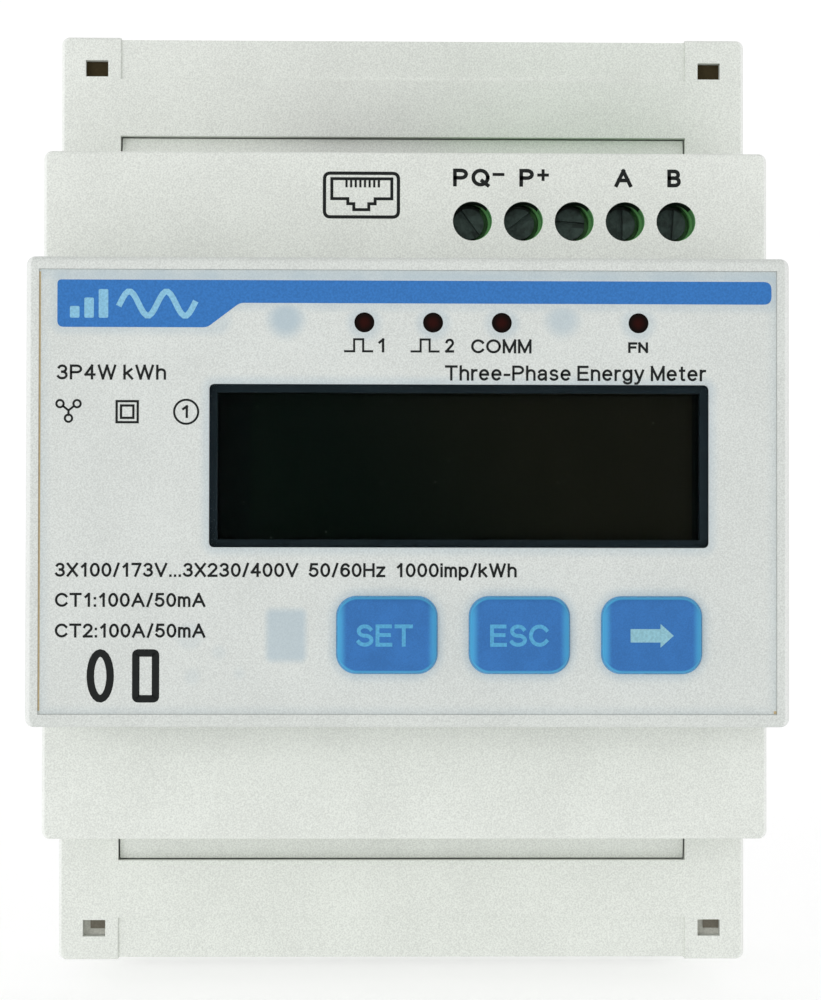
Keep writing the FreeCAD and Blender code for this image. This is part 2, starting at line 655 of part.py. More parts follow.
latch = make_body("rail_latch")
shape_boxes(latch, "Pad", "front", "-latch_back", "latch_back - latch_front",
            [("-latch_width/2", "latch_width/2", "-latch_end", "-rail_channel/2 + hook_reach")])
shape_boxes(latch, "Pad", "front", "-latch_back", "latch_back - latch_front",
            [("-tab_width/2", "tab_width/2", "-tab_end", "-latch_end + 0.1")])
blend(latch, "corner_round", lambda edge: is_deep(edge) and edge.CenterOfMass.z < -51)
nose = sketch(latch, "side", "latch_width/2 + 1")
draw_polygon(nose, [("latch_back + 0.1", "-rail_channel/2 - 1"),
                    ("latch_back + 0.1", "-rail_channel/2 + hook_reach + 0.1"),
                    ("latch_front + 1", "-rail_channel/2 + hook_reach + 0.1")])
extrude(latch, "Pocket", nose, "latch_width + 2")
shape_boxes(latch, "Pocket", "front", "-latch_front", "latch_back",
            [("-window_width/2", "window_width/2", "-window_end", "-window_top"),
             ("-2.2", "2.2", "-50.2", "-48.9")])

coil = make_body("latch_spring")
wire = sketch(coil, "front", "-(latch_front + latch_back)/2")
draw_circle(wire, "coil_radius", "-peg_top + wire_radius + 0.02", "wire_radius")
helix = coil.newObject("PartDesign::AdditiveHelix", "Coil")
helix.Profile = wire
helix.ReferenceAxis = (wire, ["V_Axis"])
helix.Mode = 0
bind(helix, "Pitch", "coil_pitch")
bind(helix, "Height", "peg_top - window_top - 2*wire_radius - 0.04")

# ---- screws that hold the base to the middle housing ----

fixings = []
for x, z in bosses:
    head_back = "fixing_floor - fixing_head - 0.02"
    head = rod(x, z, head_back, "fixing_floor - 0.02", "fixing_head_radius")
    shank = rod(x, z, "fixing_floor - 0.1", "fixing_end", "fixing_radius")
    cross = [box(f"{x} - 1.5", f"{x} + 1.5", f"{head_back} - 1", f"{head_back} + 1.2", f"{z} - 0.35",
                 f"{z} + 0.35"),
             box(f"{x} - 0.35", f"{x} + 0.35", f"{head_back} - 1", f"{head_back} + 1.2", f"{z} - 1.5",
                 f"{z} + 1.5")]
    fixings.append(cut(fuse([head, shank]), cross))
keep_group("case_screws", fixings)

# ---- check and write ----

doc.recompute()
for thing in doc.Objects:
    if any(word in state for state in thing.State for word in ("Invalid", "Error")):
        raise ValueError(f"{thing.Label} did not compute: {thing.State}")
os.makedirs("parts", exist_ok=True)
for label, part in parts.items():
    shape = part.Shape
    if shape.isNull() or not shape.isValid() or not shape.Solids:
        raise ValueError(f"{label} is not a sound solid")
    shape.exportStep(os.path.join("parts", f"{label}.step"))
    size = shape.BoundBox
    print(f"{label}: {len(shape.Solids)} solids, {shape.Volume:.1f} mm3, "
          f"x {size.XMin:.2f} {size.XMax:.2f} level {-size.YMax:.2f} {-size.YMin:.2f} z {size.ZMin:.2f} {size.ZMax:.2f}")
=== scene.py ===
import math
import bmesh
import bpy
from mathutils import Matrix, Vector


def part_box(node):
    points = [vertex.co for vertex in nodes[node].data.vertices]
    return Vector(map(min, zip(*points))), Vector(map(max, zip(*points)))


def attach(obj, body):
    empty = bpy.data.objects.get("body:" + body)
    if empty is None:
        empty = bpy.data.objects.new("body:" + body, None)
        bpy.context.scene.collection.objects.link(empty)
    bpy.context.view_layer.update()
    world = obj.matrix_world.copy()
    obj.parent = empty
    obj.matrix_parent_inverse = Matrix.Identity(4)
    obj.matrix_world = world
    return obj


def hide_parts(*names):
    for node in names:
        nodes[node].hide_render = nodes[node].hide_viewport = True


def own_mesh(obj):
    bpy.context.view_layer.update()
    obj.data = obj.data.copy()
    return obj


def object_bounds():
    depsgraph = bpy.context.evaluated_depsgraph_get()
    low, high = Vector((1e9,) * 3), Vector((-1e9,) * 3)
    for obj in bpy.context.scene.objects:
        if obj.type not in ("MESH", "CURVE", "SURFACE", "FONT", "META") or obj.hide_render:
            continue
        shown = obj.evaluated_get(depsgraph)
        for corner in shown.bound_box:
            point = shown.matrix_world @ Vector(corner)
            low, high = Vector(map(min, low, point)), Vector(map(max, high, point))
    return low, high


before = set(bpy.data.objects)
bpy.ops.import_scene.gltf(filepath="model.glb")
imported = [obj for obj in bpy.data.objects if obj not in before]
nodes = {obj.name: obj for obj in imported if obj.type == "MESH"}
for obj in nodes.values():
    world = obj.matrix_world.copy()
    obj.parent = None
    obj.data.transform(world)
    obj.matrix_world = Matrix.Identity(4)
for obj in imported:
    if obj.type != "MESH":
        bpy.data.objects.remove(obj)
cad_low, cad_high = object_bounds()
scene = bpy.context.scene
MM = 0.001


def front_of(name):
    """How far the front of a node stands above the rail face, in millimetres. The front faces -Y."""
    return -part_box(name)[0].y / MM


def sides_of(name):
    """The left, right, bottom and top of a node, in millimetres."""
    low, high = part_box(name)
    return low.x / MM, high.x / MM, low.z / MM, high.z / MM


def middle_of(name):
    left, right, bottom, top = sides_of(name)
    return (left + right) / 2, (bottom + top) / 2


# Heights above the rail face, in millimetres.
FILM = front_of("face_overlay")
STEP = front_of("mid_case")
KEY_TOP = front_of("set_key")
PRINT = 0.012           # thickness of printed ink
SKIN = 0.004            # how far a print sinks into the surface under it

# Places and sizes on the front, in millimetres.
FILM_SIDES = sides_of("face_overlay")
PANE_SIDES = sides_of("display_window")
PANE_CORNER = 0.5
KEYS = [middle_of(name)[0] for name in ("set_key", "esc_key", "next_key")]
KEY_HALF = 4.65
KEY_BOTTOM, KEY_TIP = -17.0, -9.9
KEY_CORNER = 1.9
SKIRT_REACH = 0.12      # how far the skirt of a key reaches past the key opening
LAMPS = (-4.2, 2.28, 8.77, 21.7)
LAMP_LINE = 16.0
LAMP_RADIUS = 0.95
BAND_LEFT, BAND_RIGHT, BAND_TOP = -33.08, 34.3, 19.95
BAND_LINE, EMBLEM_LINE = 17.8, 15.48
SIGNAL_SCREWS = [middle_of(f"signal_screw_{i}") for i in range(1, 6)]
SIGHT = 0.3             # how far each signal screw sits left of the middle of its hole
WELL_RADIUS = 2.0       # the wells of the green block over its screws

# Parts behind the film that show through it: discs, as middle, radius and strength, and a rounded box.
DISCS_BEHIND = ((-11.6, 16.3, 1.6, 0.75), (14.5, 16.3, 1.5, 0.55))
BOX_BEHIND, BOX_STRENGTH = (-13.3, -9.7, -15.9, -11.1, 0.5), 0.62
SMUDGES = ((-20.6, -13.6, 1.1), (-17.8, -15.1, 0.5), (-20.3, -17.4, 0.6), (-15.9, -17.1, 0.35))
SMUDGE_STRENGTH = 0.16


def at(x, level, z):
    """A point in the row frame, from millimetres across, above the rail face and up."""
    return Vector((x * MM, -level * MM, z * MM))


# ---- procedural materials ----


class Field:
    """A value that varies over a surface. Plain arithmetic on it adds shader nodes."""

    def __init__(self, tree, socket):
        self.tree = tree
        self.socket = socket

    def math(self, operation, *others):
        node = self.tree.nodes.new("ShaderNodeMath")
        node.operation = operation
        for index, value in enumerate((self, *others)):
            if isinstance(value, Field):
                self.tree.links.new(value.socket, node.inputs[index])
            else:
                node.inputs[index].default_value = value
        return Field(self.tree, node.outputs[0])

    def __add__(self, other):
        return self.math("ADD", other)

    def __sub__(self, other):
        return self.math("SUBTRACT", other)

    def __mul__(self, other):
        return self.math("MULTIPLY", other)

    def size(self):
        return self.math("ABSOLUTE")

    def most(self, other):
        return self.math("MAXIMUM", other)

    def least(self, other):
        return self.math("MINIMUM", other)

    def ramp(self, start, end, low=0.0, high=1.0):
        """Turns smoothly from low at start to high at end."""
        node = self.tree.nodes.new("ShaderNodeMapRange")
        node.interpolation_type = "SMOOTHSTEP"
        self.tree.links.new(self.socket, node.inputs["Value"])
        for name, value in zip(("From Min", "From Max", "To Min", "To Max"), (start, end, low, high)):
            node.inputs[name].default_value = value
        return Field(self.tree, node.outputs["Result"])


def hypot(a, b):
    return (a * a + b * b).math("SQRT")


class Surface:
    """A principled material with its coordinates in the row frame, in millimetres."""

    def __init__(self, name, **sockets):
        self.material = bpy.data.materials.new(name)
        self.material.use_nodes = True
        self.tree = self.material.node_tree
        self.shader = self.tree.nodes["Principled BSDF"]
        for socket, value in sockets.items():
            self.shader.inputs[socket.replace("_", " ")].default_value = value
        self.place = self.tree.nodes.new("ShaderNodeTexCoord")
        split = self.tree.nodes.new("ShaderNodeSeparateXYZ")
        self.tree.links.new(self.place.outputs["Object"], split.inputs[0])
        self.x, self.y, self.z = (Field(self.tree, out) * (1 / MM) for out in split.outputs)

    def noise(self, grain, detail=2.0, stretch=(1, 1, 1)):
        """Noise whose grains are about this many millimetres across."""
        scale = self.tree.nodes.new("ShaderNodeMapping")
        scale.inputs["Scale"].default_value = [1 / s for s in stretch]
        scale.inputs["Rotation"].default_value = (0.6, 0.4, 0.8)    # keeps faces off the noise's grid
        node = self.tree.nodes.new("ShaderNodeTexNoise")
        node.inputs["Scale"].default_value = 1 / (grain * MM)
        node.inputs["Detail"].default_value = detail
        self.tree.links.new(self.place.outputs["Object"], scale.inputs["Vector"])
        self.tree.links.new(scale.outputs[0], node.inputs["Vector"])
        return Field(self.tree, node.outputs[0])

    def facing(self, axis):
        """1 where the surface faces squarely along this axis, 0 where it lies along it."""
        split = self.tree.nodes.new("ShaderNodeSeparateXYZ")
        self.tree.links.new(self.place.outputs["Normal"], split.inputs[0])
        return Field(self.tree, split.outputs[axis]).size()

    def box_distance(self, x0, x1, z0, z1, radius=0.0):
        """Distance outside a rounded rectangle on the front, negative inside it."""
        dx = (self.x - (x0 + x1) / 2).size() - ((x1 - x0) / 2 - radius)
        dz = (self.z - (z0 + z1) / 2).size() - ((z1 - z0) / 2 - radius)
        return hypot(dx.most(0.0), dz.most(0.0)) + dx.most(dz).least(0.0) - radius

    def disc_distance(self, x, z, radius):
        return hypot(self.x - x, self.z - z) - radius

    def mix(self, factor, a, b):
        node = self.tree.nodes.new("ShaderNodeMix")
        node.data_type = "RGBA"
        self.tree.links.new(factor.socket, node.inputs["Factor"])
        for name, value in (("A", a), ("B", b)):
            socket = next(s for s in node.inputs if s.name == name and s.type == "RGBA")
            if isinstance(value, tuple):
                socket.default_value = (*value, 1.0)
            else:
                self.tree.links.new(value, socket)
        return next(s for s in node.outputs if s.type == "RGBA")

    def paint(self, colour):
        self.tree.links.new(colour, self.shader.inputs["Base Color"])

    def roughen(self, value):
        self.tree.links.new(value.socket, self.shader.inputs["Roughness"])

    def emboss(self, height, depth):
        """Bumps of this depth in millimetres."""
        node = self.tree.nodes.new("ShaderNodeBump")
        node.inputs["Distance"].default_value = depth * MM
        node.inputs["Strength"].default_value = 1.0
        self.tree.links.new(height.socket, node.inputs["Height"])
        self.tree.links.new(node.outputs[0], self.shader.inputs["Normal"])


def scaled(colour, factor):
    return tuple(min(1.0, c * factor) for c in colour)


def moulded(name, colour, roughness, grain=0.15, contrast=0.12, depth=0.007, specular=0.35, painted_highlight=0.0):
    """Moulded plastic: spark-eroded grain, a slow change of shade, uneven gloss and a painted highlight on
    the edges that turn sideways.
    """
    surface = Surface(name, Specular_IOR_Level=specular)
    fine, coarse = surface.noise(grain), surface.noise(7.0, 3.0)
    shade = fine * 0.84 + coarse * 0.16
    plain = surface.mix(shade.ramp(0.32, 0.68), scaled(colour, 1 - contrast), scaled(colour, 1 + contrast))
    if painted_highlight:
        # painted highlight: near-white on the rounded left and right edges, where the light catches them
        side = surface.facing("X")
        plain = surface.mix(side.ramp(0.1, 0.4) * side.ramp(0.99, 0.9) * painted_highlight, plain, (0.98, 0.99, 0.98))
    surface.paint(plain)
    surface.roughen(coarse.ramp(0.25, 0.75, roughness - 0.06, roughness + 0.06))
    surface.emboss(fine, depth)
    return surface


def metal(name, colour, roughness, stain, grain=0.2, stretch=(1, 1, 1), metallic=1.0):
    """Plated metal with fine drag marks and duller stains."""
    surface = Surface(name, Metallic=metallic)
    marks, stains = surface.noise(grain, 3.0, stretch), surface.noise(1.1, 4.0)
    surface.paint(surface.mix(stains.ramp(0.42, 0.68), colour, stain))
    surface.roughen(marks.ramp(0.3, 0.7, roughness - 0.1, roughness + 0.12))
    surface.emboss(marks, 0.008)
    return surface


def circuit_board(name):
    """Green solder mask with tracks just under it."""
    surface = Surface(name, Specular_IOR_Level=0.5)
    tracks = surface.noise(1.4, 0.0, (3.0, 1.0, 0.4)).ramp(0.49, 0.51)
    surface.paint(surface.mix(tracks, (0.01, 0.09, 0.035), (0.016, 0.15, 0.06)))
    surface.roughen(surface.noise(0.8).ramp(0.2, 0.8, 0.28, 0.42))
    surface.emboss(tracks, 0.02)
    return surface


HOUSING = (0.725, 0.750, 0.708)
FRONT = (0.618, 0.645, 0.618)
FILM_PALE = (0.622, 0.650, 0.626)
HAZE = (0.360, 0.465, 0.530)
BLUE = (0.038, 0.166, 0.455)
CYAN = (0.070, 0.380, 0.660)
PALE_BLUE = (0.230, 0.480, 0.650)
INK = (0.0135, 0.0155, 0.0150)


def overlay_material():
    """The printed film: pale ink, bluish round each opening, with parts behind it that show through."""
    surface = moulded("film_print", FILM_PALE, 0.42, grain=0.14, contrast=0.115, depth=0.003, specular=0.25)
    pale = surface.shader.inputs["Base Color"].links[0].from_socket
    edges = [surface.box_distance(*PANE_SIDES, PANE_CORNER)]
    for key in KEYS:
        edges.append(surface.box_distance(key - KEY_HALF, key + KEY_HALF, KEY_BOTTOM, KEY_TIP, KEY_CORNER))
    edges += [surface.disc_distance(x, LAMP_LINE, LAMP_RADIUS) for x in LAMPS]
    edges.append(surface.box_distance(-33.1, -17.5, 15.5, 19.9, 0.6))      # the end with the emblem
    edges.append(surface.box_distance(-33.1, BAND_RIGHT, BAND_LINE, BAND_TOP, 0.5))
    nearest = edges[0]
    for edge in edges[1:]:
        nearest = nearest.least(edge)
    patches = surface.noise(2.6, 2.0).ramp(0.3, 0.7, 0.75, 1.0)
    inward = surface.box_distance(*FILM_SIDES) * -1.0
    haze = (nearest.ramp(1.15, 0.15) * 0.40 + inward.ramp(1.2, 0.0) * 0.22
            + surface.z.ramp(BAND_TOP - 0.25, BAND_TOP + 0.35) * 0.22) * patches
    first, second = (surface.disc_distance(x, z, radius).ramp(0.8, -0.9) * strength
                     for x, z, radius, strength in DISCS_BEHIND)
    ghosts = first.most(second)
    ghosts = ghosts.most(surface.box_distance(*BOX_BEHIND).ramp(0.5, -0.4) * BOX_STRENGTH)
    for x, z, radius in SMUDGES:
        ghosts = ghosts.most(surface.disc_distance(x, z, radius).ramp(0.5, -0.3) * SMUDGE_STRENGTH)
    surface.paint(surface.mix(haze.most(ghosts), pale, HAZE))
    return surface.material


def terminal_material():
    """Green moulded block, with painted shade inside its screw wells except on their lit right side."""
    surface = moulded("terminal_green", (0.105, 0.330, 0.095), 0.48, contrast=0.10)
    green = surface.shader.inputs["Base Color"].links[0].from_socket
    shade = None
    for x, z in SIGNAL_SCREWS:
        inside = surface.disc_distance(x, z, WELL_RADIUS).ramp(0.15, -0.1)
        side = ((surface.z - z) * 0.17 - (surface.x - x) * 0.98).ramp(-1.25, -0.75)
        well = inside * side
        shade = shade.most(well) if shade else well
    # painted shade: near black inside each well, apart from its lit right side
    surface.paint(surface.mix(shade, green, (0.009, 0.020, 0.012)))
    return surface.material


def key_material():
    """Blue silicone rubber, with a painted highlight towards its left and right edges and where it turns
    down.
    """
    surface = Surface("key_blue", Specular_IOR_Level=0.15)
    grain, cloud = surface.noise(0.14), surface.noise(2.2, 3.0)
    flat = surface.mix((grain * 0.6 + cloud * 0.4).ramp(0.35, 0.65), scaled(BLUE, 0.84), scaled(BLUE, 1.02))
    across = (surface.x - KEYS[0]).size()
    for x in KEYS[1:]:
        across = across.least((surface.x - x).size())
    turned = surface.facing("Y").ramp(0.85, 0.5)
    # painted highlight: cyan towards the left and right edges of each key and where it turns away from the
    # front
    surface.paint(surface.mix((across.ramp(3.7, 4.6) * 0.85).most(turned), flat, CYAN))
    surface.roughen(grain.ramp(0.3, 0.7, 0.5, 0.62))
    surface.emboss(grain, 0.005)
    return surface.material


def display_material():
    """An unlit display: almost black with a green cast, browner to the right from a painted reflection, with
    a few specks of dust.
    """
    surface = Surface("display_cell", Specular_IOR_Level=0.02)
    cloud = surface.noise(9.0, 3.0)
    # painted reflection: a brownish sheen that grows towards the right
    across = (surface.x + surface.z * 0.45 + cloud * 6.0).ramp(-6.0, 24.0)
    middle = surface.mix(across, (0.0008, 0.0038, 0.0022), (0.0086, 0.0088, 0.0050))
    edge = surface.x.ramp(-14.9, -15.1).most(surface.x.ramp(27.0, 27.1))
    cell = surface.mix(edge, middle, (0.0001, 0.0018, 0.0016))
    speck = surface.tree.nodes.new("ShaderNodeTexVoronoi")
    speck.voronoi_dimensions = "2D"
    speck.inputs["Scale"].default_value = 1 / 1.3
    flat = surface.tree.nodes.new("ShaderNodeCombineXYZ")
    surface.tree.links.new(surface.x.socket, flat.inputs[0])
    surface.tree.links.new(surface.z.socket, flat.inputs[1])
    surface.tree.links.new(flat.outputs[0], speck.inputs["Vector"])
    tone = surface.tree.nodes.new("ShaderNodeSeparateColor")
    surface.tree.links.new(speck.outputs["Color"], tone.inputs[0])
    rare = Field(surface.tree, tone.outputs[0]).ramp(0.955, 0.965)
    dust = Field(surface.tree, speck.outputs["Distance"]).ramp(0.09, 0.05) * rare * 0.5
    surface.paint(surface.mix(dust, cell, (0.12, 0.13, 0.11)))
    surface.roughen(cloud.ramp(0.3, 0.7, 0.4, 0.55))
    return surface.material


def pane_material():
    """The clear window in front of the display."""
    surface = Surface("window_pane", IOR=1.3, Transmission_Weight=1.0,
                      Specular_Tint=(0.033, 0.042, 0.042, 1.0))
    smear = surface.noise(5.0, 3.0, (1, 1, 2.2))
    surface.paint(surface.mix(smear.ramp(0.3, 0.7), (0.90, 0.93, 0.92), (0.97, 0.98, 0.97)))
    surface.roughen(smear.ramp(0.35, 0.75, 0.0, 0.02))
    return surface.material


def lamp_material():
    """An unlit red indicator, darker round its edge."""
    surface = Surface("indicator_lens", Specular_IOR_Level=0.03)
    distance = surface.disc_distance(LAMPS[0], LAMP_LINE, 0.0)
    for x in LAMPS[1:]:
        distance = distance.least(surface.disc_distance(x, LAMP_LINE, 0.0))
    cloud = surface.noise(0.5, 2.0)
    outward = (distance + cloud * 0.25).ramp(0.25, LAMP_RADIUS)
    surface.paint(surface.mix(outward, (0.024, 0.0045, 0.0035), (0.006, 0.0035, 0.003)))
    surface.roughen(cloud.ramp(0.3, 0.7, 0.3, 0.45))
    return surface.material


def print_material(name, colour, roughness=0.5):
    """Screen printed ink with a slightly uneven coat."""
    surface = Surface(name, Specular_IOR_Level=0.08)
    coat = surface.noise(0.2, 3.0)
    surface.paint(surface.mix(coat.ramp(0.3, 0.7), scaled(colour, 0.9), scaled(colour, 1.12)))
    surface.roughen(coat.ramp(0.3, 0.7, roughness - 0.06, roughness + 0.06))
    return surface.material


# both plastics get a painted highlight on their rounded side edges
housing = moulded("housing_plastic", HOUSING, 0.56, painted_highlight=0.4).material
front_housing = moulded("front_plastic", FRONT, 0.52, painted_highlight=0.4).material
ink = print_material("ink_dark", INK)
band_blue = print_material("ink_blue", BLUE)
band_edge = print_material("ink_cyan", CYAN)
emblem_ink = print_material("ink_pale_blue", PALE_BLUE)
legend_ink = print_material("ink_key_arrow", (0.25, 0.47, 0.55))
key_ink = print_material("ink_key_letters", (0.090, 0.345, 0.570))
skirt_rubber = print_material("key_skirt", (0.14, 0.37, 0.60))
# brown ink for the painted shadow in the gap round the film
gap_shadow_ink = print_material("painted_gap_shadow", (0.52, 0.41, 0.24), 0.7)
# sheets of painted shade and painted light inside the seal holes
seal_dark_shade = print_material("seal_hole_dark_shade", (0.045, 0.034, 0.016), 0.8)
seal_grey_shade = print_material("seal_hole_grey_shade", (0.17, 0.155, 0.125), 0.8)
seal_pale_light = print_material("seal_hole_pale_light", (0.56, 0.56, 0.51), 0.8)
# the green block's wall in a lighter green for its lit side, and painted shade for the rest of each hole
sleeve_lit_green = print_material("sleeve_lit_green", (0.125, 0.36, 0.13), 0.6)
sleeve_painted_shade = print_material("sleeve_painted_shade", (0.010, 0.016, 0.012), 0.8)
gold = metal("gold_contact", (0.83, 0.60, 0.24), 0.3, (0.70, 0.47, 0.18)).material
spring_steel = metal("spring_wire", (0.52, 0.52, 0.50), 0.36, (0.30, 0.29, 0.28)).material
brass = metal("plated_brass", (0.62, 0.55, 0.38), 0.42, (0.40, 0.34, 0.22)).material
zinc = metal("zinc_cage", (0.55, 0.56, 0.55), 0.42, (0.36, 0.36, 0.34), grain=0.3).material
terminal_screw = metal("screw_zinc", (0.46, 0.47, 0.47), 0.40, (0.25, 0.25, 0.24)).material
signal_screw = metal("screw_dark", (0.045, 0.072, 0.062), 0.50, (0.022, 0.036, 0.030),
                     metallic=0.6).material
case_screw = metal("screw_black", (0.09, 0.09, 0.095), 0.45, (0.05, 0.05, 0.05)).material
grey_block = moulded("terminal_grey", (0.34, 0.36, 0.34), 0.52).material
black_resin = moulded("resin_black", (0.012, 0.013, 0.014), 0.45, contrast=0.15).material
board = circuit_board("solder_mask").material

MATERIALS = {
    "rear_base": housing, "mid_case": housing, "front_cover": front_housing,
    "upper_terminal_cover": housing, "lower_terminal_cover": housing,
    "face_overlay": overlay_material(),
    "display_window": pane_material(),
    "display_gasket": moulded("gasket_dark", (0.0120, 0.0215, 0.0285), 0.6, specular=0.1).material,
    "lcd_panel": display_material(),
    "lcd_backlight": moulded("light_guide", (0.62, 0.66, 0.60), 0.3).material,
    "indicator_leds": lamp_material(),
    "display_board": board, "comm_board": board, "power_board": board,
    "board_headers": black_resin, "key_switches": black_resin,
    "supply_capacitors": moulded("capacitor_sleeve", (0.015, 0.02, 0.05), 0.35, contrast=0.1).material,
    "surge_varistors": moulded("varistor_blue", (0.03, 0.10, 0.28), 0.4, contrast=0.1).material,
    "rj45_jack": moulded("jack_black", (0.018, 0.019, 0.020), 0.42, contrast=0.15).material,
    "signal_terminal_block": terminal_material(),
    "voltage_terminal_block": grey_block, "ct_terminal_block": grey_block,
    "ct_clamps": zinc, "contact_bars": brass, "case_screws": case_screw,
    "rail_latch": moulded("latch_plastic", (0.58, 0.61, 0.565), 0.5).material,
    "latch_spring": spring_steel,
}
key_blue = key_material()
for name, node in nodes.items():
    if name in MATERIALS:
        material = MATERIALS[name]
    elif name.endswith("_key"):
        material = key_blue
    elif "_clamp_" in name:
        material = zinc
    else:
        material = signal_screw if name.startswith("signal") else terminal_screw
    node.material_slots[0].material = material


# ---- small pieces drawn on the surfaces ----


def new_piece(name, bm, material, body):
    """Makes an object of a finished mesh and lets it ride on a body."""
    bmesh.ops.recalc_face_normals(bm, faces=bm.faces)
    mesh = bpy.data.meshes.new(name)
    bm.to_mesh(mesh)
    bm.free()
    piece = bpy.data.objects.new(name, mesh)
    scene.collection.objects.link(piece)
    mesh.materials.append(material)
    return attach(piece, body)


def add_plate(bm, outline, low, high):
    """A flat plate with this outline of (x, z) points, between two levels."""
    ends = [[bm.verts.new(at(x, level, z)) for x, z in outline] for level in (low, high)]
    bm.faces.new(ends[0])
    bm.faces.new(ends[1][::-1])
    for i in range(len(outline)):
        bm.faces.new((ends[0][i], ends[0][i - 1], ends[1][i - 1], ends[1][i]))


def rounded_outline(corners, radii, steps=6):
    """The outline of a polygon whose corners are rounded by these radii."""
    points = []
    for index, (corner, radius) in enumerate(zip(corners, radii)):
        here = Vector(corner)
        before = (Vector(corners[index - 1]) - here).normalized()
        after = (Vector(corners[(index + 1) % len(corners)]) - here).normalized()
        half = before.angle(after) / 2
        reach = radius / math.tan(half)
        for step in range(steps + 1):
            t = step / steps
            a, b = here + before * reach, here + after * reach
            points.append(tuple(a * (1 - t) ** 2 + here * 2 * t * (1 - t) + b * t ** 2))
    return points


def box_outline(x0, x1, z0, z1, radius=0.0):
    corners = [(x0, z0), (x1, z0), (x1, z1), (x0, z1)]
    return rounded_outline(corners, [radius] * 4) if radius else corners


def grown(sides, by):
    """Left, right, bottom and top, each moved this far outwards."""
    return sides[0] - by, sides[1] + by, sides[2] - by, sides[3] + by


def arc(x, z, radius, start=0.0, end=360.0, steps=40):
    """Points on an arc, with its angles in degrees."""
    angles = [math.radians(start + (end - start) * step / steps) for step in range(steps + 1)]
    return [(x + radius * math.cos(a), z + radius * math.sin(a)) for a in angles]


def add_stroke(bm, points, width, low, high, closed=False):
    """A line of this width drawn through (x, z) points, as a thin raised ribbon with square ends."""
    path = [Vector(p) for p in points]
    if not closed:
        path[0] += (path[0] - path[1]).normalized() * width / 2
        path[-1] += (path[-1] - path[-2]).normalized() * width / 2
    rims = []
    for index, here in enumerate(path):
        before = path[index - 1] if closed or index else None
        after = path[(index + 1) % len(path)] if closed or index + 1 < len(path) else None
        runs = [run.normalized() for run in (before and here - before, after and after - here) if run]
        along = sum(runs, Vector((0, 0))).normalized()
        side = Vector((-along.y, along.x)) * (width / 2 / max(0.35, along.dot(runs[0])))
        rims.append([bm.verts.new(at(p.x, level, p.y))
                     for level in (low, high) for p in (here + side, here - side)])
    pairs = list(zip(rims, rims[1:]))
    if closed:
        pairs.append((rims[-1], rims[0]))
    for a, b in pairs:
        for i, j in ((0, 1), (1, 3), (3, 2), (2, 0)):
            bm.faces.new((a[i], a[j], b[j], b[i]))
    if not closed:
        for end in (rims[0], rims[-1]):
            bm.faces.new([end[i] for i in (0, 1, 3, 2)])


def without_sharp_turns(points):
    """The same line in pieces that end where it turns back by more than a right angle."""
    pieces = [[points[0]]]
    for before, here, after in zip(points, points[1:], points[2:]):
        pieces[-1].append(here)
        if (Vector(here) - Vector(before)).angle(Vector(after) - Vector(here)) > math.radians(100):
            pieces.append([here])
    pieces[-1].append(points[-1])
    return pieces


def add_collar(bm, inner, outer, low, high):
    """A closed band between two outlines that have the same number of points."""
    walls = [[bm.verts.new(at(x, level, z)) for x, z in outline]
             for outline, level in ((inner, low), (outer, low), (outer, high), (inner, high))]
    for a, b in zip(walls, walls[1:] + walls[:1]):
        for i in range(len(a)):
            j = (i + 1) % len(a)
            bm.faces.new((a[i], a[j], b[j], b[i]))


def printed(name, level, material, body, plates=(), lines=(), rings=(), width=0.2):
    """Ink on a surface at this level: filled plates, open lines and closed rings."""
    bm = bmesh.new()
    low, high = level - SKIN, level + PRINT
    for outline in plates:
        add_plate(bm, outline, low, high)
    pieces = [piece for points in lines for piece in without_sharp_turns(points)]
    for index, piece in enumerate(pieces):
        add_stroke(bm, piece, width, low, high + index % 4 * 0.0015)
    for points in rings:
        add_stroke(bm, points, width, low, high, closed=True)
    return new_piece(name, bm, material, body)


def bow(x, z, across, up, start, end):
    """Part of an oval, with its angles in degrees."""
    steps = max(3, round(abs(end - start) / 15))
    angles = [math.radians(start + (end - start) * step / steps) for step in range(steps + 1)]
    return [(x + across * math.cos(a), z + up * math.sin(a)) for a in angles]


